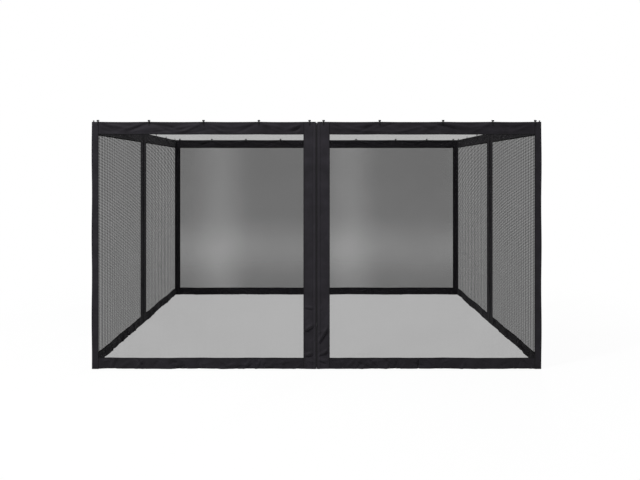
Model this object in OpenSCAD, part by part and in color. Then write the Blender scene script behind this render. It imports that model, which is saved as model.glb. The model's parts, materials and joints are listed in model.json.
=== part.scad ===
// Net enclosure with four hanging walls and no roof. Each wall is a pair of net curtains that
// close on a zip at its middle and slide on a rail to the corners. Origin on the ground, in the
// middle of the plan; the front wall faces -Y.

/* [Enclosure] */
// Width of the front and back walls, corner to corner
wall_w = 3660; // [2600:10:4600]
// Depth of the left and right walls, corner to corner
wall_d = 3050; // [2600:10:4600]
// Height of the walls, ground to the top edge of the header
wall_h = 2010; // [1500:10:2600]

/* [Borders] */
// Height of the solid strip along the top of a wall
header_h = 103; // [60:1:160]
// Height of the solid strip along the ground
hem_h = 91; // [40:1:160]
// Width of the solid band beside each zip
zip_band_w = 100; // [60:1:160]
// Width of each leg of the folded band at a corner
corner_leg = 58; // [30:1:100]
// Thickness of headers, hems and bands
band_t = 2; // [1.4:0.1:4]
// Gap between a curtain and the corner band
cloth_gap = 0.3; // [0.2:0.1:2]

/* [Net] */
// Thickness of the net
net_t = 1; // [0.4:0.1:1.2]
// Width of one strand of the net
strand_w = 4; // [1:0.5:10]
// Openings across a front or back curtain
front_columns = 6; // [3:1:8]
// Openings across a left or right curtain
side_columns = 5; // [3:1:8]
// Openings from hem to header
net_rows = 6; // [3:1:8]

/* [Rail hooks] */
// Diameter of the bore that the rail runs through
rail_bore_d = 5; // [4:0.5:16]
// Wall of the hook around the rail
hook_wall = 1.6; // [1.4:0.1:4]
// Width of the hook along the rail
hook_w = 20; // [14:0.5:24]
// Angle of the mouth that snaps over the rail
mouth_angle = 80; // [50:1:85]
// Hooks between the corner hook and the leading hook, front and back curtains
front_mid_hooks = 3; // [1:1:6]
// How far those left of the zip stand off even spacing, away from the corner
left_hook_shifts = [-15, -2, 18];
// How far those right of the zip stand off even spacing, away from the corner
right_hook_shifts = [-85, -111, -26];
// Hooks between the corner hook and the leading hook, left and right curtains
side_mid_hooks = 2; // [1:1:6]
// Diameter of the bar at the foot of the hook
bar_d = 2.4; // [2:0.1:5]
// Thickness of the two posts that carry the bar
post_t = 3; // [2:0.1:3]

/* [Webbing loops] */
// Width of the webbing
loop_w = 10; // [6:0.5:10]
// Thickness of the webbing
loop_t = 1.2; // [0.8:0.1:2]
// Length of the webbing sewn down on each side of the header
loop_leg = 30; // [15:1:50]
// Room around the bar inside the loop
loop_play = 0.6; // [0.4:0.1:2]
// Gap between neighbouring parts that touch when they are used
seat_gap = 0.3; // [0.2:0.1:0.4]
// Room between a loop and the rest of its hook
hook_room = 0.5; // [0.3:0.1:2]

/* [Zip] */
// Gap between the two bands that shows the zip
zip_slot_w = 14; // [12:0.5:20]
// Width of the zip tape that is sewn behind a band
tape_seam = 9; // [5:0.5:20]
// Thickness of the zip tape
tape_t = 0.8; // [0.5:0.1:1]
// Width of the chain on one half
chain_w = 2.6; // [1.5:0.1:3]
// Thickness of the chain
chain_t = 2.8; // [2:0.1:3]
// Gap between the two chains
chain_gap = 1.6; // [1.4:0.1:2.4]
// Height of the end of the zip above the ground and below the header's edge
zip_end = 12; // [5:1:30]
// Height of a stop at the end of a chain
stop_h = 6; // [3:0.5:12]

/* [Zip slider] */
// Room between the slider and each band
slider_room = 1; // [0.5:0.1:2]
// Length of the slider
slider_l = 18; // [14:0.5:30]
// Thickness of a slider plate
plate_t = 1.7; // [1:0.1:2.5]
// Width of the flange that keeps the chain in the slider
flange_w = 1.4; // [0.6:0.1:1.4]
// Length of the web between the two plates
web_l = 6; // [3:0.5:10]
// Height of the slider above the ground
slider_z = 362; // [34:1:1000]
// Diameter of the pin that carries a pull
pin_d = 2; // [1.2:0.1:2.4]
// Radial running clearance of a pull on its pin
pin_clear = 0.08; // [0.05:0.01:0.1]
// Wall of a lug or pull eye around the pin
eye_wall = 1.2; // [0.8:0.1:2]
// Thickness of one lug
lug_t = 1.2; // [0.8:0.1:1.6]
// Width of the eye of the pull between the lugs
eye_w = 3.4; // [2:0.1:4]

/* [Zip pulls] */
// Length of a pull, from pin to tip
pull_l = 30; // [22:1:33]
// Width of a pull
pull_w = 8; // [6:0.5:12]
// Thickness of a pull
pull_t = 1.6; // [1:0.1:2]
// Diameter of the hole near the tip
grip_hole_d = 4; // [2:0.5:4.5]
// Length of the narrow neck below the eye
neck_l = 5; // [4:0.5:8]

/* [Hidden] */
$fn = 14;
// Sides of the outside of a hook, which nothing turns on
hook_sides = 12;
// Sides of the other small rounds that nothing turns on
small_sides = 8;
// Overshoot of a cutting body past the face that it cuts
cut = 1;

webbing = [0.13, 0.13, 0.14];
mesh_black = [0.24, 0.24, 0.25];
tape_black = [0.17, 0.17, 0.18];
plastic_black = [0.09, 0.09, 0.1];
dark_metal = [0.3, 0.3, 0.32];

// Name, wall and direction along the wall from its corner, for each curtain
CURTAINS = [
    ["front_left", "front", 1],
    ["front_right", "front", -1],
    ["back_left", "back", 1],
    ["back_right", "back", -1],
    ["left_front", "left", 1],
    ["left_back", "left", -1],
    ["right_front", "right", 1],
    ["right_back", "right", -1]
];
CORNERS = [CURTAINS[0], CURTAINS[1], CURTAINS[2], CURTAINS[3]];
// Wall, and direction from the zip to the curtain that carries its slider
SLIDERS = [["front", 1], ["back", -1], ["left", -1], ["right", 1]];
CURTAIN_PARTS = ["net", "header_and_hem", "zip_band", "zip_half", "hooks"];
SLIDER_PARTS = ["zip_slider", "zip_outer_pull", "zip_inner_pull"];

// Walls: half the run of a wall, and how far its outer face lies from the middle of the plan
function along_x(wall) = wall == "front" || wall == "back";
function half_run(wall) = (along_x(wall) ? wall_w : wall_d) / 2;
function face_out(wall) = (along_x(wall) ? wall_d : wall_w) / 2;
function inward(wall) = wall == "front" || wall == "left" ? 1 : -1;

// Curtain, along the wall from its corner
curtain_x = corner_leg + cloth_gap;
function net_l(wall) = half_run(wall) - zip_slot_w / 2 - zip_band_w - curtain_x;
net_h = wall_h - header_h - hem_h;

// Rail hook, up from the top edge of the header and in from the outer face of the wall
hook_y = band_t / 2;
loop_r = bar_d / 2 + loop_play;
loop_z = loop_r + loop_t + seat_gap;
bar_z = loop_z + loop_play - seat_gap;
rail_z = loop_z + loop_r + loop_t + hook_room + hook_wall + rail_bore_d / 2;
post_w = (hook_w - loop_w) / 2 - hook_room;
corner_hook_x = corner_leg - loop_w / 2;
// The leading hook stands over the middle of the zip band
lead_hook_x = zip_slot_w / 2 + zip_band_w / 2;
function mid_hooks(wall) = along_x(wall) ? front_mid_hooks : side_mid_hooks;
function hook_step(wall) =
    (half_run(wall) - lead_hook_x - corner_hook_x) / (mid_hooks(wall) + 1);
function hook_shifts(c) = !along_x(c[1]) ? [] : c[2] > 0 ? left_hook_shifts : right_hook_shifts;
function hook_shift(shifts, i) = i <= len(shifts) ? shifts[i - 1] : 0;
function mid_hook_x(c) = [
    for (i = [1 : mid_hooks(c[1])])
        corner_hook_x + i * hook_step(c[1]) + hook_shift(hook_shifts(c), i)
];

// Zip, out from the line where the two chains meet and in from the outer face of the wall
chain_x = chain_gap / 2;
chain_y = band_t + tape_t / 2;
tape_l = zip_slot_w / 2 + tape_seam - chain_x - chain_w;
slider_w = zip_slot_w - 2 * slider_room;
plate_y = chain_t / 2 + seat_gap;
web_w = chain_gap - 2 * seat_gap;
lug_r = pin_d / 2 + eye_wall;
pin_y = plate_y + plate_t + lug_r + seat_gap;
pin_z = slider_l - lug_r - seat_gap;
lug_x = eye_w / 2 + seat_gap;

// Places its child on a wall: x along the wall from its middle, y in from its outer face
module on_wall(wall, direction = 1) {
    across = inward(wall);
    offset_out = -across * face_out(wall);
    axes = along_x(wall)
        ? [[direction, 0, 0, 0], [0, across, 0, offset_out], [0, 0, 1, 0]]
        : [[0, across, 0, offset_out], [direction, 0, 0, 0], [0, 0, 1, 0]];
    multmatrix(axes) children();
}

// Places its child on a curtain: x along the wall from the corner
module on_curtain(c) {
    on_wall(c[1], c[2]) translate([-half_run(c[1]), 0, 0]) children();
}

// Places its child beside a zip: x out from the zip towards the corner
module beside_zip(c) {
    on_wall(c[1], -c[2]) children();
}

module x_cylinder(d, l) {
    rotate([0, 90, 0]) cylinder(d = d, h = l, center = true);
}

// Hook with a snap mouth on its inner side, its foot bar through the webbing loop
module rail_hook() {
    outer_d = rail_bore_d + 2 * hook_wall;
    mouth_reach = outer_d;
    post_top = rail_z - rail_bore_d / 2 - hook_wall / 2;
    translate([0, hook_y, rail_z]) difference() {
        x_cylinder(outer_d, hook_w, $fn = hook_sides);
        x_cylinder(rail_bore_d, hook_w + 2 * cut);
        rotate([90, 0, 90]) linear_extrude(height = hook_w + 2 * cut, center = true)
            polygon([
                [0, 0],
                [mouth_reach, -mouth_reach * tan(mouth_angle / 2)],
                [mouth_reach, mouth_reach * tan(mouth_angle / 2)]
            ]);
    }
    translate([0, hook_y, bar_z]) x_cylinder(bar_d, hook_w, $fn = small_sides);
    for (side = [-1, 1])
        translate([side * (hook_w - post_w) / 2, hook_y, (bar_z + post_top) / 2])
            cube([post_w, post_t, post_top - bar_z], center = true);
}

// Loop of webbing around the foot bar, its two legs sewn to the faces of the header
module webbing_loop() {
    leg_top = loop_z - sqrt(pow(loop_r + loop_t / 2, 2) - pow(band_t / 2 + loop_t / 2, 2));
    translate([0, hook_y, loop_z]) difference() {
        x_cylinder(2 * (loop_r + loop_t), loop_w, $fn = small_sides);
        x_cylinder(2 * loop_r, loop_w + 2 * cut, $fn = small_sides);
    }
    for (leg_y = [-loop_t, band_t])
        translate([-loop_w / 2, leg_y, -loop_leg]) cube([loop_w, loop_t, loop_leg + leg_top]);
}

module corner_band() {
    color(webbing) {
        cube([corner_leg, band_t, wall_h]);
        cube([band_t, corner_leg, wall_h]);
    }
}

module corner_hooks() {
    color(plastic_black) for (c = CURTAINS)
        on_curtain(c) translate([corner_hook_x, 0, wall_h]) rail_hook();
}

module corner_hook_loops() {
    color(webbing) for (c = CURTAINS)
        on_curtain(c) translate([corner_hook_x, 0, wall_h]) webbing_loop();
}

// Flat net in its flat, open grid
module net(c) {
    length = net_l(c[1]);
    columns = along_x(c[1]) ? front_columns : side_columns;
    hole_l = (length - (columns + 1) * strand_w) / columns;
    hole_h = (net_h - (net_rows + 1) * strand_w) / net_rows;
    color(mesh_black) on_curtain(c) translate([curtain_x, (band_t - net_t) / 2, hem_h])
        difference() {
            cube([length, net_t, net_h]);
            for (i = [0 : columns - 1])
                for (j = [0 : net_rows - 1])
                    translate([
                        strand_w + i * (hole_l + strand_w),
                        -cut,
                        strand_w + j * (hole_h + strand_w)
                    ]) cube([hole_l, net_t + 2 * cut, hole_h]);
        }
}

module header_and_hem(c) {
    length = net_l(c[1]);
    color(webbing) on_curtain(c) {
        translate([curtain_x, 0, 0]) cube([length, band_t, hem_h]);
        translate([curtain_x, 0, wall_h - header_h]) cube([length, band_t, header_h]);
        for (x = mid_hook_x(c)) translate([x, 0, wall_h]) webbing_loop();
    }
}

module zip_band(c) {
    color(webbing) beside_zip(c) {
        translate([zip_slot_w / 2, 0, 0]) cube([zip_band_w, band_t, wall_h]);
        translate([lead_hook_x, 0, wall_h]) webbing_loop();
    }
}

// Tape with its chain and a stop at each end of it
module zip_half(c) {
    zip_h = wall_h - 2 * zip_end;
    stop_w = chain_w + flange_w;
    color(tape_black) beside_zip(c) translate([chain_x, chain_y, zip_end]) {
        translate([chain_w, -tape_t / 2, 0]) cube([tape_l, tape_t, zip_h]);
        translate([0, -chain_t / 2, 0]) cube([chain_w, chain_t, zip_h]);
        for (z = [0, zip_h - stop_h])
            translate([0, -chain_t / 2 - seat_gap, z])
                cube([stop_w, chain_t + 2 * seat_gap, stop_h]);
    }
}

module curtain_hooks(c) {
    color(plastic_black) {
        on_curtain(c) for (x = mid_hook_x(c)) translate([x, 0, wall_h]) rail_hook();
        beside_zip(c) translate([lead_hook_x, 0, wall_h]) rail_hook();
    }
}

// One plate of a slider with its flange and the lugs and pin for its pull, on the side of +y
module slider_side() {
    shoulder = slider_w / 4;
    half_w = slider_w / 2;
    lug_reach = pin_y - plate_y - plate_t;
    translate([0, plate_y + plate_t, 0]) rotate([90, 0, 0]) linear_extrude(height = plate_t)
        polygon([
            [-half_w + shoulder, 0],
            [half_w - shoulder, 0],
            [half_w, shoulder],
            [half_w, slider_l - shoulder],
            [half_w - shoulder, slider_l],
            [-half_w + shoulder, slider_l],
            [-half_w, slider_l - shoulder],
            [-half_w, shoulder]
        ]);
    translate([half_w - flange_w, tape_t / 2 + seat_gap, shoulder])
        cube([flange_w, plate_y - tape_t / 2 - seat_gap, slider_l - 2 * shoulder]);
    for (side = [-1, 1]) translate([side * (lug_x + lug_t / 2), 0, pin_z]) {
        translate([-lug_t / 2, plate_y + plate_t / 2, -lug_r])
            cube([lug_t, lug_reach + plate_t / 2, 2 * lug_r]);
        translate([0, pin_y, 0]) x_cylinder(2 * lug_r, lug_t, $fn = small_sides);
    }
    translate([0, pin_y, pin_z]) x_cylinder(pin_d, 2 * lug_x + lug_t);
}

// The flanges hold the chain of the curtain that carries the slider; the other side is open
module zip_slider(s) {
    color(dark_metal) on_wall(s[0], s[1]) translate([0, chain_y, slider_z]) {
        slider_side();
        mirror([0, 1, 0]) slider_side();
        translate([-web_w / 2, -plate_y - plate_t / 2, 0])
            cube([web_w, 2 * plate_y + plate_t, web_l]);
    }
}

// Pull that hangs from its pin, in front of (side -1) or behind (side 1) the slider
module zip_pull(s, side) {
    tip_z = -pull_l + pull_w / 2;
    color(dark_metal) on_wall(s[0]) translate([0, chain_y + side * pin_y, slider_z + pin_z])
        difference() {
            union() {
                x_cylinder(2 * lug_r, eye_w, $fn = small_sides);
                translate([-eye_w / 2, -pull_t / 2, -neck_l]) cube([eye_w, pull_t, neck_l]);
                translate([-pull_w / 2, -pull_t / 2, tip_z])
                    cube([pull_w, pull_t, -neck_l - tip_z]);
                translate([0, 0, tip_z]) rotate([90, 0, 0])
                    cylinder(d = pull_w, h = pull_t, center = true, $fn = small_sides);
            }
            x_cylinder(pin_d + 2 * pin_clear, eye_w + 2 * cut);
            translate([0, 0, tip_z]) rotate([90, 0, 0])
                cylinder(d = grip_hole_d, h = pull_t + 2 * cut, center = true, $fn = small_sides);
        }
}

for (c = CORNERS) {
    on_curtain(c) corner_band();
}
corner_hooks();
corner_hook_loops();
for (c = CURTAINS) {
    net(c);
    header_and_hem(c);
    zip_band(c);
    zip_half(c);
    curtain_hooks(c);
}
for (s = SLIDERS) {
    zip_slider(s);
    zip_pull(s, -1);
    zip_pull(s, 1);
}
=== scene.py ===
import json
import math

import bpy
import numpy as np
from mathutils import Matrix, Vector


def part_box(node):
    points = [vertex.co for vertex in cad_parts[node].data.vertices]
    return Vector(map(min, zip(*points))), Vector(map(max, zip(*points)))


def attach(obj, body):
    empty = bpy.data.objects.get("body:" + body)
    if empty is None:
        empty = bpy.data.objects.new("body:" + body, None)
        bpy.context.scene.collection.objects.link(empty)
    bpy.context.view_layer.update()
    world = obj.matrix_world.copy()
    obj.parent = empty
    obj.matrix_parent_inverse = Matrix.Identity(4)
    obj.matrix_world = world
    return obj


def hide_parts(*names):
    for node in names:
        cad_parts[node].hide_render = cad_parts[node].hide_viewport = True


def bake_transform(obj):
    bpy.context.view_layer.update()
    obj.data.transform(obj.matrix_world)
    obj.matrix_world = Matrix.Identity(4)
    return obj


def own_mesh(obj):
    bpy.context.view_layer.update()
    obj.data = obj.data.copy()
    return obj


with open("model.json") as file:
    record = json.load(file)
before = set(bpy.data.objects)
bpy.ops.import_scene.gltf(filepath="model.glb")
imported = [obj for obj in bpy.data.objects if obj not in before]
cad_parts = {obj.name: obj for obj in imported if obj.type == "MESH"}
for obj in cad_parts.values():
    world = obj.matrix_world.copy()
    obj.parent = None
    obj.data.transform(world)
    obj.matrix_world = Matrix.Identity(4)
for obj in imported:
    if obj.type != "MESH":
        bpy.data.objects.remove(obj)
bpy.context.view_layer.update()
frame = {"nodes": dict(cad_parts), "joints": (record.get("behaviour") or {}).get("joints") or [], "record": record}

# ---- Sizes, in metres, read from the frame -------------------------------------------------

corner_low, corner_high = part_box("corner_band_front_left")
HALF_W, HALF_D, HEIGHT = -corner_low[0], -corner_low[1], corner_high[2]
LEG = corner_high[0] - corner_low[0]  # width of a corner band on each of its walls
net_low, net_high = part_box("front_left_net")
HEM_TOP, HEADER_BOTTOM = net_low[2], net_high[2]
BAND_T = net_low[1] + net_high[1] - 2 * corner_low[1]  # the net hangs in its middle
HOOK_W, LOOP_W = 0.020, 0.010
# Hooks between a curtain's corner hook and its leading hook: how far each one stands off even
# spacing, away from the corner
HOOK_SHIFTS = {"left": (-0.015, -0.002, 0.018), "right": (-0.085, -0.111, -0.026),
               "front": (0, 0), "back": (0, 0)}
SEAM = 0.009  # how far one cloth is sewn under the next
PLACKET_W = 0.020  # doubled cloth beside a zip
CLOTH_T, TAPE_T = 0.0006, 0.0007

# Layers of cloth, in from the outer face of a wall
BAND_LAYER, STRIP_LAYER, NET_LAYER, TAPE_LAYER = 0.0005, 0.0012, 0.0018, 0.0024

# ---- Camera ---------------------------------------------------------------------------------

IMAGE_W, IMAGE_H = 640, 480
FRONT_SPAN_PX = 450.4  # the front wall between its corners
FRONT_MID_PX = 316.6
GROUND_PX = 369.1  # the foot of the front wall
HORIZON_PX = 170.5
BACK_SHARE = 0.625  # size of the back wall beside the front wall
SENSOR_MM = 36.0


def make_camera():
    distance = 2 * HALF_D / (1 / BACK_SHARE - 1)
    metre_per_px = 2 * HALF_W / FRONT_SPAN_PX
    data = bpy.data.cameras.new("camera")
    data.sensor_width = SENSOR_MM
    data.lens = SENSOR_MM * distance / metre_per_px / IMAGE_W
    data.shift_x = (IMAGE_W / 2 - FRONT_MID_PX) / IMAGE_W
    data.shift_y = (HORIZON_PX - IMAGE_H / 2) / IMAGE_W
    camera = bpy.data.objects.new("camera", data)
    eye = (GROUND_PX - HORIZON_PX) * metre_per_px
    camera.location = (0, -HALF_D - distance, eye)
    camera.rotation_euler = (math.pi / 2, 0, 0)
    bpy.context.scene.collection.objects.link(camera)
    bpy.context.scene.camera = camera


make_camera()

# ---- Shader helpers -------------------------------------------------------------------------

# Lockstitch: how far it runs from its edge, its pitch and half its width
STITCH_INSET, STITCH_PITCH, STITCH_HALF_W = 0.0045, 0.004, 0.0007


class Shader:
    """The node tree of a material or world, with short calls for the nodes used here."""

    def __init__(self, owner, output="OutputMaterial"):
        self.owner = owner
        owner.use_nodes = True
        self.tree = owner.node_tree
        self.tree.nodes.clear()
        self.output = self.node(output)

    def node(self, kind, inputs=None, **settings):
        made = self.tree.nodes.new("ShaderNode" + kind)
        for key, value in settings.items():
            setattr(made, key, value)
        for key, value in (inputs or {}).items():
            self.put(made.inputs[key], value)
        return made

    def put(self, socket, value):
        if isinstance(value, bpy.types.NodeSocket):
            self.tree.links.new(value, socket)
        else:
            socket.default_value = value

    def math(self, operation, a, b=None, c=None):
        made = self.node("Math", operation=operation)
        for socket, value in zip(made.inputs, (a, b, c)):
            if value is not None:
                self.put(socket, value)
        return made.outputs[0]

    def ramp(self, value, low, high, to_low=0.0, to_high=1.0):
        """value from low to high, smoothly mapped to the two other numbers."""
        made = self.node("MapRange", {"Value": value}, interpolation_type="SMOOTHSTEP")
        names = ("From Min", "From Max", "To Min", "To Max")
        for key, number in zip(names, (low, high, to_low, to_high)):
            made.inputs[key].default_value = number
        return made.outputs[0]

    def uv(self, layer):
        """The two coordinates of a UV layer, which is laid out in metres."""
        split = self.node("SeparateXYZ", {0: self.node("UVMap", uv_map=layer).outputs[0]})
        return split.outputs[0], split.outputs[1]

    def noise(self, vector, scale, detail=3.0):
        inputs = {"Vector": vector, "Scale": scale, "Detail": detail}
        return self.node("TexNoise", inputs).outputs["Fac"]

    def blend(self, factor, first, second):
        """Mix of two colours, each a socket or a plain RGBA value."""
        made = self.node("Mix", data_type="RGBA")
        for index, value in zip((0, 6, 7), (factor, first, second)):
            self.put(made.inputs[index], value)
        return made.outputs[2]

    def colours(self, factor, dark, light):
        return self.blend(factor, (*dark, 1), (*light, 1))

    def bump(self, height, strength, distance, over=None):
        """Normal of a raised surface, on top of another bump where one is given."""
        inputs = {"Height": height, "Strength": strength, "Distance": distance}
        if over:
            inputs["Normal"] = over
        return self.node("Bump", inputs).outputs[0]

    def finish(self, surface):
        self.tree.links.new(surface, self.output.inputs[0])
        return self.owner


def material_shader(name):
    return Shader(bpy.data.materials.new(name))


def wave(s, coordinate, pitch):
    """Sine of a coordinate with the given pitch, -1 to 1."""
    return s.math("SINE", s.math("MULTIPLY", coordinate, 2 * math.pi / pitch))


def plain_weave(s, x, y, pitch):
    """Height of a plain weave: threads over and under each other, 0 to 1."""
    product = s.math("MULTIPLY", wave(s, x, pitch), wave(s, y, pitch))
    return s.math("MULTIPLY_ADD", product, 0.5, 0.5)


def stitch_line(s, layer="edge", inset=STITCH_INSET):
    """Mask of a lockstitch beside a sewn edge, from the UV layer that holds the edge."""
    along, inside = s.uv(layer)
    off_line = s.math("ABSOLUTE", s.math("SUBTRACT", inside, inset))
    line = s.ramp(off_line, STITCH_HALF_W * 0.6, STITCH_HALF_W, 1.0, 0.0)
    dash = s.ramp(wave(s, along, STITCH_PITCH), -0.55, -0.3)
    return s.math("MULTIPLY", line, dash)


# ---- Materials ------------------------------------------------------------------------------

WEAVE_PITCH, TWILL_PITCH, NET_PITCH = 0.0011, 0.0012, 0.0024
COURSE_PITCH, FINE_COURSE_PITCH, BAR_PITCH, WIDE_BAR_PITCH = 0.0245, 0.0205, 0.066, 0.15
SEAM_SHADE, STITCH_THREAD = (0.002, 0.002, 0.0025, 1), (0.04, 0.04, 0.042, 1)


def oxford_cloth(name, dark, light, rough=0.78, placket=False):
    """Black woven polyester of headers, hems and bands, darker where its edges are bound.
    placket adds the stitches of the doubled cloth beside a zip, a painted highlight on that doubled cloth and a
    painted shade line where it is sewn down."""
    s = material_shader(name)
    x, y = s.uv("cloth")
    flat = s.node("CombineXYZ", {0: x, 1: y}).outputs[0]
    cloudy = s.noise(flat, scale=9.0, detail=4.0)
    fine = s.noise(flat, scale=420.0, detail=2.0)
    stitches = stitch_line(s)
    weave = plain_weave(s, x, y, WEAVE_PITCH)
    tone = s.math("MULTIPLY_ADD", fine, 0.35, s.math("MULTIPLY", cloudy, 0.65))
    cloth_colour = s.colours(s.ramp(tone, 0.3, 0.7), dark, light)
    if placket:
        from_zip = s.uv("placket")[1]
        # Painted highlight: the doubled cloth beside the zip is made lighter
        doubled = s.ramp(from_zip, PLACKET_W - 0.001, PLACKET_W + 0.001, 0.25, 0.0)
        cloth_colour = s.blend(doubled, cloth_colour, (*(1.2 * c for c in light), 1))
        # Painted shade: a dark line where the doubled cloth is sewn down
        off_seam = s.math("ABSOLUTE", s.math("SUBTRACT", from_zip, PLACKET_W + 0.002))
        painted_seam_shade = s.ramp(off_seam, 0.0015, 0.003, 0.45, 0.0)
        cloth_colour = s.blend(painted_seam_shade, cloth_colour, SEAM_SHADE)
        for inset in (STITCH_INSET, PLACKET_W - 0.004):
            stitches = s.math("MAXIMUM", stitches, stitch_line(s, "placket", inset))
    inside = s.uv("edge")[1]
    bound = s.ramp(inside, 0.006, 0.0075, 1.0, 0.0)
    bound_colour = s.blend(s.math("MULTIPLY", bound, 0.75), cloth_colour, SEAM_SHADE)
    colour = s.blend(s.math("MULTIPLY", stitches, 0.8), bound_colour, STITCH_THREAD)
    roughness = s.ramp(cloudy, 0.2, 0.8, rough - 0.08, rough + 0.08)
    soft = s.bump(cloudy, strength=0.35, distance=0.006)
    thread = s.bump(weave, strength=0.35, distance=0.00025, over=soft)
    raised = s.math("MULTIPLY_ADD", bound, 0.7, stitches)
    sewn = s.bump(raised, strength=0.8, distance=0.0006, over=thread)
    p = s.node("BsdfPrincipled", {
        "Base Color": colour, "Roughness": roughness, "Normal": sewn,
        "Specular IOR Level": 0.1, "Sheen Weight": 0.03, "Sheen Roughness": 0.5,
    })
    return s.finish(p.outputs[0])


def painted_highlight_bands(s, flat, x, y, highlight_at):
    """Painted highlight of a net, as a factor on the share of light it lets through: more along
    one upright band, around the given place along the net, and along a level band below half height."""
    sideways = s.math("SUBTRACT", s.noise(flat, scale=1.6, detail=1.0), 0.5)
    highlight_line = s.math("MULTIPLY_ADD", sideways, 0.1, x)
    off = s.math("ABSOLUTE", s.math("SUBTRACT", highlight_line, highlight_at))
    # fold and sag here are the upright and level bands of painted highlight
    fold = s.math("MULTIPLY_ADD", s.ramp(off, 0.0, 0.46, 1.0, 0.0), 0.33, 1.0)
    fold = s.math("MULTIPLY_ADD", s.ramp(off, 0.0, 1.0, 1.0, 0.0), 0.06, fold)
    from_highlight_height = s.math("ABSOLUTE", s.math("SUBTRACT", y, 0.6))
    sag = s.math("MULTIPLY_ADD", s.ramp(from_highlight_height, 0.0, 0.48, 1.0, 0.0), 0.34, 1.0)
    sag = s.math("MULTIPLY_ADD", s.ramp(from_highlight_height, 0.0, 1.2, 1.0, 0.0), 0.07, sag)
    return s.math("MULTIPLY", fold, sag)


def knit_courses(s, from_front, z):
    """Coarser courses of a side wall's knit, about -1 to 1. They hang in curves that fall
    towards the back, and finer ones take over towards the ground. Upright bars are added:
    narrow ones that fade away from the front corner, and wide, uneven ones beyond the middle."""
    fall = s.math("MULTIPLY", from_front, 0.5)
    squeeze = s.math("MULTIPLY_ADD", from_front, -0.2, 1.0)
    courses = wave(s, s.math("MULTIPLY_ADD", z, squeeze, fall), COURSE_PITCH)
    fine = wave(s, s.math("MULTIPLY_ADD", from_front, -0.35, z), FINE_COURSE_PITCH)
    high = s.ramp(z, 0.4, 1.3, 0.45, 1.0)
    low_part = s.math("MULTIPLY", fine, s.math("MULTIPLY_ADD", high, -2.0, 2.0))
    near_front = s.ramp(from_front, 0.0, 0.8, 1.3, 0.5)
    bars = s.math("MULTIPLY", wave(s, from_front, BAR_PITCH), near_front)
    place = s.node("CombineXYZ", {0: from_front, 1: z}).outputs[0]
    uneven = s.noise(place, scale=1.4, detail=1.0)
    drift = s.math("MULTIPLY_ADD", uneven, 0.12, from_front)
    near_back = s.ramp(from_front, 1.3, 2.2, 0.0, 0.45)
    wide_bars = s.math("MULTIPLY", wave(s, drift, WIDE_BAR_PITCH), near_back)
    upright = s.math("ADD", bars, wide_bars)
    return s.math("ADD", s.math("MULTIPLY_ADD", courses, high, low_part), upright)


def net_cloth(name, cover, courses=0.0, far_corner=False, highlight_at=None):
    """Fine black net: how much of the view its threads cover, with diamond holes. courses is
    the strength of the coarser courses of its knit, measured from the far corner where that is
    the front one, and the last argument is the middle of an upright band of painted highlight,
    where the net shows lighter."""
    s = material_shader(name)
    x, y = s.uv("cloth")
    flat = s.node("CombineXYZ", {0: x, 1: y}).outputs[0]
    diamonds = s.math("MULTIPLY", wave(s, s.math("ADD", x, y), NET_PITCH),
                      wave(s, s.math("SUBTRACT", x, y), NET_PITCH))
    uneven = s.math("SUBTRACT", s.noise(flat, scale=2.2, detail=2.0), 0.5)
    clear = s.math("MULTIPLY_ADD", uneven, 0.04, 1 - cover)
    # Painted highlight: lighter bands where the net lets more light through
    if highlight_at is not None:
        clear = s.math("MULTIPLY", clear, painted_highlight_bands(s, flat, x, y, highlight_at))
    if courses:
        from_front = s.math("SUBTRACT", 2 * HALF_D, x) if far_corner else x
        clear = s.math("MULTIPLY_ADD", knit_courses(s, from_front, y), courses, clear)
    clear = s.math("MULTIPLY_ADD", diamonds, 0.3, clear)
    alpha = s.math("SUBTRACT", 1.0, s.math("MINIMUM", s.math("MAXIMUM", clear, 0.02), 0.98))
    fibre = s.noise(flat, scale=300.0, detail=2.0)
    thread_colour = s.colours(fibre, (0.0015, 0.0015, 0.0015), (0.003, 0.003, 0.003))
    p = s.node("BsdfPrincipled", {
        "Base Color": thread_colour, "Roughness": 0.8, "Alpha": alpha,
        "Normal": s.bump(diamonds, strength=0.2, distance=0.0003), "Specular IOR Level": 0.0,
    })
    return s.finish(p.outputs[0])


def zip_tape_cloth():
    s = material_shader("zip_tape")
    x, y = s.uv("cloth")
    twill = wave(s, s.math("ADD", x, y), TWILL_PITCH)
    rib = s.ramp(twill, -0.8, 0.8)
    p = s.node("BsdfPrincipled", {
        "Base Color": s.colours(rib, (0.0085, 0.0078, 0.0095), (0.0150, 0.0138, 0.0168)),
        "Normal": s.bump(twill, strength=0.4, distance=0.0002),
        "Roughness": 0.8, "Specular IOR Level": 0.08,
    })
    return s.finish(p.outputs[0])


def moulded_plastic(name, dark, light, rough):
    s = material_shader(name)
    place = s.node("TexCoord").outputs["Object"]
    speck = s.noise(place, scale=900.0)
    cloudy = s.noise(place, scale=60.0, detail=2.0)
    p = s.node("BsdfPrincipled", {
        "Base Color": s.colours(cloudy, dark, light),
        "Roughness": s.ramp(cloudy, 0.3, 0.7, rough - 0.06, rough + 0.06),
        "Normal": s.bump(speck, strength=0.2, distance=0.0001), "Specular IOR Level": 0.2,
    })
    return s.finish(p.outputs[0])


def enamelled_metal():
    """Black enamel, rubbed through to the zinc along its edges."""
    s = material_shader("enamelled_metal")
    place = s.node("TexCoord").outputs["Object"]
    edge = s.node("NewGeometry").outputs["Pointiness"]
    patchy = s.math("MULTIPLY_ADD", s.noise(place, scale=700.0, detail=4.0), 0.12, edge)
    worn = s.ramp(patchy, 0.66, 0.72)
    p = s.node("BsdfPrincipled", {
        "Base Color": s.colours(worn, (0.010, 0.010, 0.011), (0.08, 0.08, 0.085)),
        "Metallic": s.ramp(worn, 0.0, 1.0, 0.0, 0.9),
        "Roughness": s.ramp(s.noise(place, scale=240.0), 0.3, 0.7, 0.38, 0.5),
        "Specular IOR Level": 0.22,
    })
    return s.finish(p.outputs[0])


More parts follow.
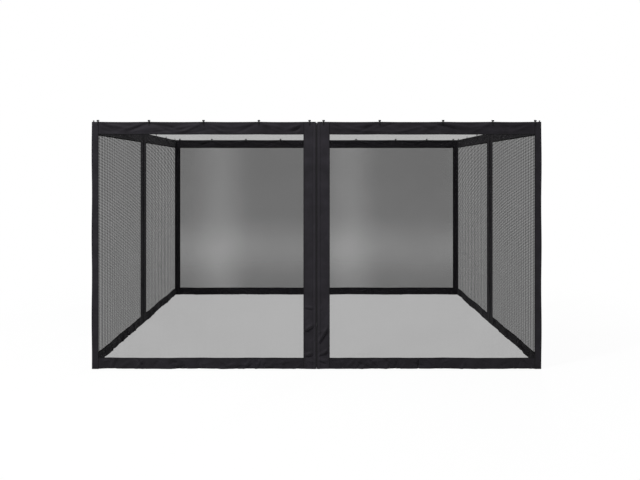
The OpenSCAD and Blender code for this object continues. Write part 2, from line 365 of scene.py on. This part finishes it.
OXFORD = oxford_cloth("black_oxford", (0.0092, 0.0083, 0.0104), (0.0182, 0.0166, 0.0206))
# The zip bands get a lighter copy of the black oxford: painted light
ZIP_OXFORD_PAINTED_LIGHTER = oxford_cloth("black_oxford_placket", (0.0118, 0.0108, 0.0133),
                          (0.0231, 0.0211, 0.0259), placket=True)
WEBBING = oxford_cloth("black_webbing", (0.008, 0.008, 0.009), (0.018, 0.018, 0.019), 0.7)
TAPE = zip_tape_cloth()
TEETH = moulded_plastic("zip_teeth", (0.0075, 0.007, 0.008), (0.0125, 0.0118, 0.0135), 0.5)
HOOK = moulded_plastic("hook_plastic", (0.003, 0.003, 0.0035), (0.006, 0.006, 0.0065), 0.5)
METAL = enamelled_metal()
SIDE_FRONT_NET = net_cloth("side_front_net", 0.605, courses=0.1)
SIDE_BACK_NET = net_cloth("side_back_net", 0.605, courses=0.1, far_corner=True)
FRONT_NET = net_cloth("front_net", 0.567)
NETS = {
    "front_left": FRONT_NET,
    "front_right": FRONT_NET,
    # The back nets cover more, a painted shade at their top and foot, and their lighter bands are a painted
    # highlight
    "back_left": net_cloth("back_left_net", 0.655, highlight_at=0.57),
    "back_right": net_cloth("back_right_net", 0.657, highlight_at=1.41),
    "left_front": SIDE_FRONT_NET,
    "left_back": SIDE_BACK_NET,
    "right_front": SIDE_FRONT_NET,
    "right_back": SIDE_BACK_NET,
}

# ---- Mesh helpers ---------------------------------------------------------------------------


def add_object(name, points, faces, materials, smooth=True):
    mesh = bpy.data.meshes.new(name)
    mesh.from_pydata([tuple(p) for p in points], [], faces)
    mesh.polygons.foreach_set("use_smooth", [smooth] * len(mesh.polygons))
    for material in materials:
        mesh.materials.append(material)
    made = bpy.data.objects.new(name, mesh)
    bpy.context.scene.collection.objects.link(made)
    return made


def put_uv(made, layer, per_point):
    """Writes a UV layer from one pair of numbers for each vertex."""
    mesh = made.data
    corners = np.empty(len(mesh.loops), int)
    mesh.loops.foreach_get("vertex_index", corners)
    uv = mesh.uv_layers.new(name=layer)
    uv.data.foreach_set("uv", np.asarray(per_point, float)[corners].ravel())


def thicken(made, thickness):
    solid = made.modifiers.new("thickness", "SOLIDIFY")
    solid.thickness = thickness
    solid.offset = 0.0


def round_edges(made, width, sharper_than):
    """Rounds the edges that are sharper than an angle in degrees."""
    bevel = made.modifiers.new("round_edges", "BEVEL")
    bevel.width = width
    bevel.segments = 2
    bevel.limit_method = "ANGLE"
    bevel.angle_limit = math.radians(sharper_than)


def grid_faces(rows, columns):
    first = np.arange(rows - 1)[:, None] * columns + np.arange(columns - 1)[None, :]
    quads = np.stack([first, first + 1, first + columns + 1, first + columns], -1)
    return quads.reshape(-1, 4).tolist()


def smoothstep(t):
    t = np.clip(t, 0.0, 1.0)
    return t * t * (3 - 2 * t)


# ---- Curtains -------------------------------------------------------------------------------

# For each wall, the direction along it and the direction in
WALLS = {
    "front": (np.array([1.0, 0, 0]), np.array([0, 1.0, 0])),
    "back": (np.array([1.0, 0, 0]), np.array([0, -1.0, 0])),
    "left": (np.array([0, 1.0, 0]), np.array([1.0, 0, 0])),
    "right": (np.array([0, 1.0, 0]), np.array([-1.0, 0, 0])),
}
JOINTS = {joint["name"]: joint for joint in frame["joints"]}


class Crease:
    """A soft ridge in cloth: its middle, its slope, and its length, half-width and height."""

    def __init__(self, along, height, slope, reach, half_width, rise):
        self.along, self.height = along, height
        self.cos, self.sin = math.cos(math.radians(slope)), math.sin(math.radians(slope))
        self.reach, self.half_width, self.rise = reach, half_width, rise

    def at(self, u, z):
        du, dz = u - self.along, z - self.height
        run = du * self.cos + dz * self.sin
        off = -du * self.sin + dz * self.cos
        return self.rise * np.exp(-((off / self.half_width) ** 2) - (run / self.reach) ** 4)


def chance_creases(rng, count, along, height, slope, reach, half_width, rise):
    """Creases whose sizes are picked between the two ends of each range."""
    picked = []
    for _ in range(count):
        a, h, angle, r, w, up = (
            rng.uniform(*ends) for ends in (along, height, slope, reach, half_width, rise))
        picked.append(Crease(a, h, angle * rng.choice([-1, 1]), r, w, up * rng.choice([-1, 1])))
    return picked


# Plain creases of the front wall, some of them a valley with a ridge beside it. Each row has the
# fields of Crease: along from the wall's corner, up from the ground, slope, reach, half-width, rise
BAND_CREASES = {
    "front_right": [
        Crease(1.780, 0.278, -58, 0.075, 0.012, -0.013),
        Crease(1.768, 0.268, -58, 0.070, 0.007, 0.010),
        Crease(1.768, 0.138, -30, 0.040, 0.012, -0.012),
        Crease(1.770, 0.120, -30, 0.040, 0.007, 0.008),
        Crease(1.772, 0.072, 8, 0.040, 0.010, -0.010),
        Crease(1.775, 0.052, 15, 0.030, 0.007, 0.007),
    ],
    "front_left": [
        Crease(1.760, 0.336, 31, 0.050, 0.013, -0.013),
        Crease(1.766, 0.316, 31, 0.045, 0.007, 0.010),
        Crease(1.760, 0.503, -12, 0.040, 0.010, -0.008),
        Crease(1.760, 0.486, -12, 0.040, 0.007, 0.006),
        Crease(1.765, 0.124, 15, 0.035, 0.012, -0.012),
        Crease(1.766, 0.104, 15, 0.035, 0.007, 0.008),
        Crease(1.785, 0.064, -25, 0.030, 0.011, -0.010),
    ],
}
HEM_CREASES = {
    "front_left": [
        Crease(0.390, 0.045, -52, 0.050, 0.010, -0.013),
        Crease(0.404, 0.045, -52, 0.050, 0.007, 0.010),
        Crease(1.300, 0.040, 6, 0.150, 0.012, -0.006),
        Crease(1.520, 0.050, 9, 0.120, 0.012, -0.006),
    ],
    "front_right": [
        Crease(1.003, 0.045, 90, 0.060, 0.007, 0.013),
        Crease(1.600, 0.040, 40, 0.050, 0.012, -0.008),
        Crease(1.560, 0.040, -40, 0.050, 0.012, -0.008),
    ],
}
LONG_WAVE, LONG_WAVE_PITCH = 0.0042, 0.71  # slow waves of a hanging curtain
FOLD_RISE, FOLD_PITCH = 0.0016, 0.19
HOOK_SAG, FOOT_WAVE = 0.002, 0.0022
STRAIGHT_END = 0.09  # where a curtain's waves begin, from each end


class Curtain:
    """One half of a wall. u runs along the wall from its corner, v in from its outer face."""

    def __init__(self, name, seed):
        self.name = name
        self.wall, self.end = name.split("_")
        run, self.inward = WALLS[self.wall]
        direction = 1 if self.end in ("left", "front") else -1
        self.run = run * direction
        along_x = self.wall in ("front", "back")
        self.span = HALF_W if along_x else HALF_D
        out = HALF_D if along_x else HALF_W
        self.corner = -self.run * self.span - self.inward * out
        self.body = name + "_curtain"
        self.joint = name + "_draw"
        self.travel = JOINTS[self.joint]["range_m"][1]
        self.start, self.net_end = self.reach(name + "_net")
        self.band_end = self.reach(name + "_zip_band")[1]
        self.corner_hook = LEG - LOOP_W / 2
        self.lead = self.reach(name + "_hooks")[1] - HOOK_W / 2
        shifts = HOOK_SHIFTS[self.end]
        even = np.linspace(self.corner_hook, self.lead, len(shifts) + 2)[1:-1]
        self.mids = [float(u + shift) for u, shift in zip(even, shifts)]
        self.rng = np.random.default_rng(seed)
        self.phases = self.rng.uniform(0, 2 * math.pi, 6)
        self.creases = self.fold_creases()

    def reach(self, node):
        """Where a node starts and ends along the wall, from the corner."""
        ends = [float(np.dot(np.array(corner) - self.corner, self.run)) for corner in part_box(node)]
        return min(ends), max(ends)

    def place(self, u, v, z):
        """Points in the object's frame from the wall's own coordinates."""
        u, v, z = (np.asarray(a, float).ravel() for a in (u, v, z))
        flat = self.corner + u[:, None] * self.run + v[:, None] * self.inward
        flat[:, 2] = z
        return flat

    def share(self, u):
        """Share of the curtain's travel that its cloth makes at u."""
        return (u - self.start) / (self.net_end - self.start)

    def hook_creases(self):
        """Folds that fall away from each hook to both sides."""
        picked = []
        for hook in (self.corner_hook, *self.mids, self.lead):
            for side in (-1, 1):
                for slope in (12, 25):
                    angle = slope + self.rng.uniform(-4, 4)
                    reach = self.rng.uniform(0.06, 0.13)
                    cos, sin = math.cos(math.radians(angle)), math.sin(math.radians(angle))
                    along, height = hook + side * (reach + 0.02) * cos, HEIGHT - 0.012 - reach * sin
                    rise = self.rng.uniform(0.0035, 0.0075) * self.rng.choice([-1, 1])
                    picked.append(Crease(along, height, -side * angle, reach, 0.013, rise))
        return picked

    def fold_creases(self):
        """Soft folds of the header and the hem."""
        ends = (self.start, self.net_end)
        length = self.net_end - self.start
        header = chance_creases(
            self.rng, round(length / 0.1), ends, height=(HEADER_BOTTOM, HEIGHT), slope=(2, 18),
            reach=(0.08, 0.2), half_width=(0.010, 0.016), rise=(0.0025, 0.0045))
        hem = chance_creases(
            self.rng, round(length / 0.045), ends, height=(0.0, HEM_TOP), slope=(8, 75),
            reach=(0.03, 0.08), half_width=(0.009, 0.014), rise=(0.0042, 0.0092))
        return self.hook_creases() + header + hem + HEM_CREASES.get(self.name, [])

    def relief(self, u, z):
        """How far the cloth stands in from its plane: long waves, smaller folds and creases."""
        ends = (smoothstep((u - self.start) / STRAIGHT_END)
                * smoothstep((self.net_end - u) / STRAIGHT_END))
        low = 1 - z / HEIGHT
        p = self.phases
        long_wave = LONG_WAVE * np.sin(2 * math.pi * u / LONG_WAVE_PITCH + p[0])
        lean = p[1] + 0.5 * np.sin(2.1 * z + p[2])
        fold = FOLD_RISE * np.sin(2 * math.pi * u / FOLD_PITCH + lean)
        return ends * (long_wave * (0.25 + 0.75 * low) + fold * (0.35 + 0.65 * low))

    def creased(self, u, z):
        """How far the creases stand in; they fade out where the cloth is sewn to the net."""
        ends = smoothstep((u - self.start) / 0.05) * smoothstep((self.net_end - u) / 0.05)
        off_net = np.where(z > HEIGHT / 2, z - HEADER_BOTTOM, HEM_TOP - z)
        sewn = smoothstep((off_net - SEAM) / 0.022)
        return ends * sewn * sum(crease.at(u, z) for crease in self.creases)

    def lift(self, u, z):
        """How far the cloth sags between hooks and how its foot waves along the ground."""
        hooks = [self.corner_hook, *self.mids, self.lead]
        t = np.zeros_like(u)
        for low, high in zip(hooks, hooks[1:]):
            inside = (u > low) & (u < high)
            t = np.where(inside, np.sin(math.pi * (u - low) / (high - low)), t)
        sag = -HOOK_SAG * t * (z / HEIGHT) ** 7
        p = self.phases
        slow = np.sin(2 * math.pi * u / 0.95 + p[3])
        quick = np.sin(2 * math.pi * u / 0.41 + p[4])
        foot = FOOT_WAVE * (1 + slow * 0.7 + quick * 0.3)
        ends = smoothstep(u / 0.12) * smoothstep((self.span - u) / 0.12)
        return sag + foot * ends * (1 - z / HEIGHT) ** 9


CURTAIN_NAMES = ("front_left", "front_right", "back_left", "back_right",
                 "left_front", "left_back", "right_front", "right_back")
CURTAINS = [Curtain(name, 11 + i) for i, name in enumerate(CURTAIN_NAMES)]

# ---- Cloth ----------------------------------------------------------------------------------


def steps(low, high, size):
    """Even places from low to high, about a size apart."""
    return np.linspace(low, high, max(2, round((high - low) / size) + 1))


def edge_distance(value, edges):
    """Distance to the nearest of some edges, or a long one where there are none."""
    if not edges:
        return np.full_like(value, 9.0)
    return np.min([np.abs(value - edge) for edge in edges], axis=0)


def hang(curtain, name, us, zs, layer, material, relief,
         edges_u=(), edges_z=(), thickness=CLOTH_T):
    """A sheet of cloth in a curtain's wall, sewn at edges_u and edges_z. In metres, its UV layer
    cloth has u and z, and edge has the way along the nearest sewn edge and the distance to it."""
    u, z = (a.ravel() for a in np.meshgrid(us, zs))
    v = layer + relief(u, z)
    points = curtain.place(u, v, z + curtain.lift(u, z))
    made = add_object(name, points, grid_faces(len(zs), len(us)), [material])
    put_uv(made, "cloth", np.stack([u, z], -1))
    to_u = edge_distance(u, edges_u)
    to_z = edge_distance(z, edges_z)
    along = np.where(to_u < to_z, z, u)
    put_uv(made, "edge", np.stack([along, np.minimum(to_u, to_z)], -1))
    if thickness:
        thicken(made, thickness)
    return made


def gather(made, curtain):
    """Puts cloth on the root body and gives it a mesh of its own."""
    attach(made, "root")
    anchor = curtain.place([curtain.start], [0], [0])[0]
    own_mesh(made)


def make_net(curtain):
    name = curtain.name
    us = steps(curtain.start - SEAM, curtain.net_end + SEAM, 0.011)
    zs = steps(HEM_TOP - SEAM, HEADER_BOTTOM + SEAM, 0.06)
    net = hang(curtain, name + "_net_cloth", us, zs, NET_LAYER, NETS[name], curtain.relief,
               thickness=0)
    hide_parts(name + "_net")
    gather(net, curtain)


def make_strips(curtain):
    """Header and hem of a curtain."""
    name = curtain.name

    def folded(u, z):
        return curtain.relief(u, z) + curtain.creased(u, z)

    us = steps(curtain.start - 0.004, curtain.net_end + 0.006, 0.006)
    for part, low, high, held in (("header", HEADER_BOTTOM, HEIGHT, "hung"),
                                  ("hem", 0.0, HEM_TOP, "stretched")):
        zs = steps(low, high, 0.005)
        strip = hang(curtain, f"{name}_{part}", us, zs, STRIP_LAYER, OXFORD, folded,
                     edges_z=(low, high))
        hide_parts(name + "_header_and_hem")
        gather(strip, curtain)


def make_zip_band(curtain):
    """Zip band of a curtain, more creased towards its foot, with doubled cloth at the zip."""
    name = curtain.name
    ends = (curtain.net_end, curtain.band_end)
    creases = chance_creases(
        curtain.rng, 6, ends, height=(0.04, 0.55), slope=(10, 60), reach=(0.03, 0.06),
        half_width=(0.008, 0.012), rise=(0.0018, 0.0036))
    creases += chance_creases(
        curtain.rng, 8, ends, height=(0.6, 1.9), slope=(30, 80), reach=(0.05, 0.12),
        half_width=(0.010, 0.016), rise=(0.0008, 0.002))
    creases += BAND_CREASES.get(name, [])

    def folded(u, z):
        inside = (smoothstep((u - curtain.net_end - SEAM) / 0.02)
                  * smoothstep((curtain.band_end - u) / 0.015))
        ripple = 0.0009 * np.sin(2 * math.pi * z / 0.83 + curtain.phases[5])
        placket = -0.0012 * smoothstep((u - curtain.band_end + PLACKET_W) / 0.003)
        return inside * (ripple + sum(crease.at(u, z) for crease in creases)) + placket

    us = steps(curtain.net_end, curtain.band_end, 0.003)
    zs = steps(0.0, HEIGHT, 0.0045)
    band = hang(curtain, name + "_zip_band_cloth", us, zs, BAND_LAYER, ZIP_OXFORD_PAINTED_LIGHTER, folded,
                edges_u=(curtain.net_end,), edges_z=(0.0, HEIGHT))
    u, z = (a.ravel() for a in np.meshgrid(us, zs))
    put_uv(band, "placket", np.stack([z, curtain.band_end - u], -1))
    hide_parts(name + "_zip_band")
    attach(band, curtain.body)


def make_corner_band(curtain):
    """Folded band at the corner between a front or back wall and a side wall."""
    node = "corner_band_" + curtain.name
    bend = 0.007
    half_turn = bend * math.pi / 2
    leg = LEG - BAND_LAYER - bend
    total = 2 * leg + half_turn
    alongs, zs = steps(0, total, 0.0035), steps(0, HEIGHT, 0.02)
    along, z = (a.ravel() for a in np.meshgrid(alongs, zs))
    # Out along the first wall, round the bend and in along the second one
    turn = np.clip((along - leg) / half_turn, 0, 1) * math.pi / 2
    first, second = np.maximum(leg - along, 0), np.maximum(along - leg - half_turn, 0)
    u = BAND_LAYER + bend * (1 - np.sin(turn)) + first
    v = BAND_LAYER + bend * (1 - np.cos(turn)) + second
    sway = 0.0012 * np.sin(2 * math.pi * z / 0.67 + curtain.phases[0])
    edge = np.minimum(along, total - along)
    push = sway * smoothstep(edge / 0.02)
    faces = grid_faces(len(zs), len(alongs))
    made = add_object(node + "_cloth", curtain.place(u + push, v + push, z), faces, [OXFORD])
    put_uv(made, "cloth", np.stack([along, z], -1))
    put_uv(made, "edge", np.stack([z, edge], -1))
    thicken(made, CLOTH_T)
    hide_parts(node)
    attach(made, "root")


for curtain in CURTAINS:
    make_net(curtain)
    make_strips(curtain)
    make_zip_band(curtain)
for curtain in CURTAINS[:4]:
    make_corner_band(curtain)

# ---- Hooks and webbing loops ----------------------------------------------------------------

# In from the outer face and up from the header's edge
rail = next(mount for mount in frame["record"]["mounts"] if mount["name"] == "front_rail")
HOOK_V, RAIL_Z = BAND_T / 2, rail["pos_m"][2] - HEIGHT
RAIL_R = rail["dims"]["r_mm"] / 1000
HOOK_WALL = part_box("corner_hooks")[1][2] - HEIGHT - RAIL_Z - RAIL_R
LOOP_T, LOOP_LEG = 0.0012, 0.030
LOOP_R, LOOP_Z, BAR_R, BAR_Z = 0.0018, 0.0033, 0.0012, 0.0036
POST_W, POST_T = 0.0045, 0.003
MOUTH = math.radians(80)
HOOK_ROUND, LOOP_ROUND = 0.0004, 0.00025


def arc(centre, radius, start, end, count):
    angles = np.linspace(start, end, count)
    return np.stack([centre[0] + radius * np.cos(angles), centre[1] + radius * np.sin(angles)], -1)


def prism(outline, low, high):
    """Points (along the wall, in, up) and faces of an outline drawn out along the wall."""
    n = len(outline)
    points = [(low, v, z) for v, z in outline] + [(high, v, z) for v, z in outline]
    sides = [(i, (i + 1) % n, (i + 1) % n + n, i + n) for i in range(n)]
    return points, [tuple(reversed(range(n))), tuple(range(n, 2 * n)), *sides]


def gather_parts(parts):
    points, faces = [], []
    for part_points, part_faces in parts:
        shift = len(points)
        points += part_points
        faces += [tuple(i + shift for i in face) for face in part_faces]
    return np.array(points), faces


def hook_parts():
    """Snap ring with rounded lips, two posts and the foot bar."""
    middle = (HOOK_V, RAIL_Z)
    half, mean = MOUTH / 2, RAIL_R + HOOK_WALL / 2
    lips = [(middle[0] + mean * math.cos(a), middle[1] + mean * math.sin(a)) for a in (-half, half)]
    ring = np.concatenate([
        arc(middle, RAIL_R + HOOK_WALL, half, 2 * math.pi - half, 40),
        arc(lips[0], HOOK_WALL / 2, -half, -half + math.pi, 7)[1:-1],
        arc(middle, RAIL_R, 2 * math.pi - half, half, 32),
        arc(lips[1], HOOK_WALL / 2, half + math.pi, half + 2 * math.pi, 7)[1:-1],
    ])
    bar = arc((HOOK_V, BAR_Z), BAR_R, 0, 2 * math.pi, 21)[:-1]
    top = RAIL_Z - RAIL_R - HOOK_WALL / 2
    t = POST_T / 2
    post = [(HOOK_V - t, BAR_Z), (HOOK_V + t, BAR_Z), (HOOK_V + t, top), (HOOK_V - t, top)]
    w = HOOK_W / 2
    posts = [prism(post, -w, -w + POST_W), prism(post, w - POST_W, w)]
    return [prism(ring, -w, w), prism(bar, -w, w), *posts]


def loop_outline():
    """Strap up one face of the header, round the foot bar and down the other face."""
    middle = (HOOK_V, LOOP_Z)
    radius = LOOP_R + LOOP_T / 2
    leg = HOOK_V + LOOP_T / 2
    meet = math.asin(leg / radius)
    path = [(HOOK_V + leg, z) for z in np.linspace(-LOOP_LEG, -0.001, 12)]
    path += list(map(tuple, arc(middle, radius, meet - math.pi / 2, 3 * math.pi / 2 - meet, 30)))
    path += [(HOOK_V - leg, z) for z in np.linspace(-0.001, -LOOP_LEG, 12)]
    path = np.array(path)
    along = np.gradient(path, axis=0)
    along /= np.linalg.norm(along, axis=1)[:, None]
    out = np.stack([along[:, 1], -along[:, 0]], -1) * LOOP_T / 2
    return np.concatenate([path + out, (path - out)[::-1]])


HOOK_SHAPE = gather_parts(hook_parts())
LOOP_SHAPE = gather_parts([prism(loop_outline(), -LOOP_W / 2, LOOP_W / 2)])


def set_on_header(curtain, name, u, shape, material, follow):
    """A hook or loop at u on the header's edge. follow is 1 where its legs lie on wavy cloth."""
    points, faces = shape
    along, v, z = points.T
    at, height = np.full_like(z, u), np.minimum(HEIGHT + z, HEIGHT)
    wavy = curtain.relief(at, height) + curtain.creased(at, height)
    v = v + follow * wavy * smoothstep(-z / 0.008)
    place = curtain.place(u + along, v, HEIGHT + z)
    made = add_object(name, place, faces, [material], smooth=False)
    round_edges(made, HOOK_ROUND if material is HOOK else LOOP_ROUND, sharper_than=50)
    return made


def slide_share(made):
    """Bakes the placement of made into its mesh."""
    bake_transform(made)


def make_hook(curtain, label, u, nodes, share):
    """A hook with its webbing loop, and the CAD nodes of both. share is its part of the curtain's
    travel, or None on the leading edge, which makes all of it."""
    pieces = (("hook", HOOK_SHAPE, HOOK, "hook_plastic", 0),
              ("loop", LOOP_SHAPE, WEBBING, "webbing", 1))
    for (part, shape, material, slot, follow), node in zip(pieces, nodes):
        piece_name = f"{curtain.name}_{label}_{part}"
        made = set_on_header(curtain, piece_name, u, shape, material, follow)
        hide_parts(node)
        if share is None:
            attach(made, curtain.body)
        elif share == 0:
            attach(made, "root")
        else:
            slide_share(made)
        if part == "loop":
            points = np.array([v.co for v in made.data.vertices])
            run = (points - curtain.corner) @ curtain.run
            put_uv(made, "cloth", np.stack([run, points[:, 2]], -1))
            put_uv(made, "edge", np.stack([points[:, 2], LOOP_W / 2 - np.abs(run - u)], -1))


for curtain in CURTAINS:
    own = (curtain.name + "_hooks", curtain.name + "_header_and_hem")
    make_hook(curtain, "corner", curtain.corner_hook, ("corner_hooks", "corner_hook_loops"), 0)
    for i, u in enumerate(curtain.mids):
        make_hook(curtain, f"mid_{i + 1}", u, own, curtain.share(u))
    make_hook(curtain, "lead", curtain.lead, (own[0], curtain.name + "_zip_band"), None)

# ---- Zips -----------------------------------------------------------------------------------

# Chain, from the zip's middle, and how far its ends stay from the ground and the top
CHAIN_X, CHAIN_W, CHAIN_T, ZIP_END = 0.0008, 0.0026, 0.0028, 0.012
STOP_H, STOP_W = 0.006, 0.004
# Far edge of the tape, and how far it stays from the zip's middle, the ground and the top
TAPE_END, TAPE_GAP, TAPE_LOW, TAPE_TOP = 0.016, 0.0002, 0.0008, 0.006
# Teeth, with their reach past the zip's middle, and the cord along their roots
TOOTH_PITCH, TOOTH_H, TOOTH_REACH = 0.0032, 0.0015, 0.001
CORD_W, CORD_T = 0.0011, 0.0019
SLIDER_ROUND = 0.00035


def blocks(centres, sizes):
    """Points and faces of blocks, from their u, v, z middles and their full sizes."""
    count = len(centres)
    signs = np.array([(a, b, c) for a in (-1, 1) for b in (-1, 1) for c in (-1, 1)], float) / 2
    shape = np.tile(signs, (count, 1, 1)) * np.asarray(sizes)[:, None, :]
    points = (shape + np.asarray(centres)[:, None, :]).reshape(-1, 3)
    sides = np.array([(0, 1, 3, 2), (4, 6, 7, 5), (0, 4, 5, 1),
                      (2, 3, 7, 6), (0, 2, 6, 4), (1, 5, 7, 3)])
    faces = (sides[None] + 8 * np.arange(count)[:, None, None]).reshape(-1, 4)
    return points, faces.tolist()


def make_zip_half(curtain):
    """Woven tape, its corded edge, and moulded teeth that mesh with the other half's."""
    name = curtain.name
    low, high = ZIP_END, HEIGHT - ZIP_END
    us = curtain.span - np.array([TAPE_END, 0.011, 0.006, TAPE_GAP])
    zs = steps(TAPE_LOW, HEIGHT - TAPE_TOP, 0.02)
    tape = hang(curtain, name + "_zip_tape", us, zs, TAPE_LAYER, TAPE,
                lambda u, z: np.zeros_like(u), thickness=TAPE_T)
    meshed = TOOTH_PITCH / 2 if curtain.end in ("right", "back") else 0
    heights = np.arange(low + STOP_H + TOOTH_H + meshed, high - STOP_H - TOOTH_H, TOOTH_PITCH)
    tip, root = -TOOTH_REACH, CHAIN_X + CHAIN_W
    centres = [(curtain.span - (tip + root) / 2, TAPE_LAYER, h) for h in heights]
    sizes = [(root - tip, CHAIN_T * 0.9, TOOTH_H)] * len(heights)
    centres.append((curtain.span - root - 0.0003, TAPE_LAYER, HEIGHT / 2))
    sizes.append((CORD_W, CORD_T, high - low))
    for h in (low + STOP_H / 2, high - STOP_H / 2):
        centres.append((curtain.span - CHAIN_X - STOP_W / 2, TAPE_LAYER, h))
        sizes.append((STOP_W, CHAIN_T + 0.0006, STOP_H))
    points, faces = blocks(centres, sizes)
    teeth = add_object(name + "_zip_teeth", curtain.place(*points.T), faces, [TEETH], smooth=False)
    for made in (tape, teeth):
        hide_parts(name + "_zip_half")
        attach(made, curtain.body)


def enamel(node):
    """Gives a slider or pull of the CAD model its enamel and rounded edges."""
    node.data.materials.clear()
    node.data.materials.append(METAL)
    round_edges(node, SLIDER_ROUND, sharper_than=45)


for curtain in CURTAINS:
    make_zip_half(curtain)
for wall in WALLS:
    for part in ("zip_slider", "zip_outer_pull", "zip_inner_pull"):
        enamel(frame["nodes"][f"{wall}_{part}"])

# ---- Floor, lamps and world -----------------------------------------------------------------


def background_rays(s):
    """1 for the rays that show the background: to the camera, in gloss and through glass."""
    path = s.node("LightPath")
    seen = s.math("MAXIMUM", path.outputs["Is Camera Ray"], path.outputs["Is Glossy Ray"])
    return s.math("MAXIMUM", seen, path.outputs["Is Transmission Ray"])


def make_world(strength):
    s = Shader(bpy.data.worlds.new("studio"), "OutputWorld")
    level = s.node("Mix", {0: background_rays(s), 2: strength, 3: 1.0}).outputs[0]
    lit = s.node("Background", {"Color": (1, 1, 1, 1), "Strength": level})
    bpy.context.scene.world = s.finish(lit.outputs[0])


def make_floor(size, near, far):
    """White floor that keeps a faint shadow: its lit share goes from near to far off."""
    s = material_shader("floor")
    place = s.node("TexCoord").outputs["Object"]
    away = s.node("VectorMath", {0: place}, operation="LENGTH").outputs["Value"]
    white = s.math("MULTIPLY", background_rays(s), s.ramp(away, near, far, 0.94, 1.0))
    lit = s.node("BsdfDiffuse", {"Color": (0.75, 0.75, 0.75, 1)})
    shine = s.node("Emission", {"Color": (1, 1, 1, 1), "Strength": 1.0})
    both = s.node("MixShader", {0: white, 1: lit.outputs[0], 2: shine.outputs[0]})
    half, z = size / 2, -0.001
    corners = [(-half, -half, z), (half, -half, z), (half, half, z), (-half, half, z)]
    add_object("floor", corners, [(0, 1, 2, 3)], [s.finish(both.outputs[0])])


def make_lamp(name, place, aim, size, power):
    data = bpy.data.lights.new(name, "AREA")
    data.shape = "DISK"
    data.size = size
    data.energy = power
    lamp = bpy.data.objects.new(name, data)
    lamp.location = place
    lamp.rotation_euler = (Vector(aim) - Vector(place)).to_track_quat("-Z", "Y").to_euler()
    lamp.visible_camera = False
    bpy.context.scene.collection.objects.link(lamp)


make_world(strength=0.42)
make_floor(size=60.0, near=2.6, far=4.5)
make_lamp("overhead", place=(0, 0, 6.5), aim=(0, 0, 0), size=6.0, power=160)
make_lamp("key", place=(-3.4, -4.6, 7.0), aim=(0, -1.0, 1.0), size=1.0, power=520)
make_lamp("back", place=(4.0, 5.6, 6.5), aim=(0, 1.0, 1.0), size=1.6, power=330)
bpy.context.scene.view_settings.view_transform = "Standard"
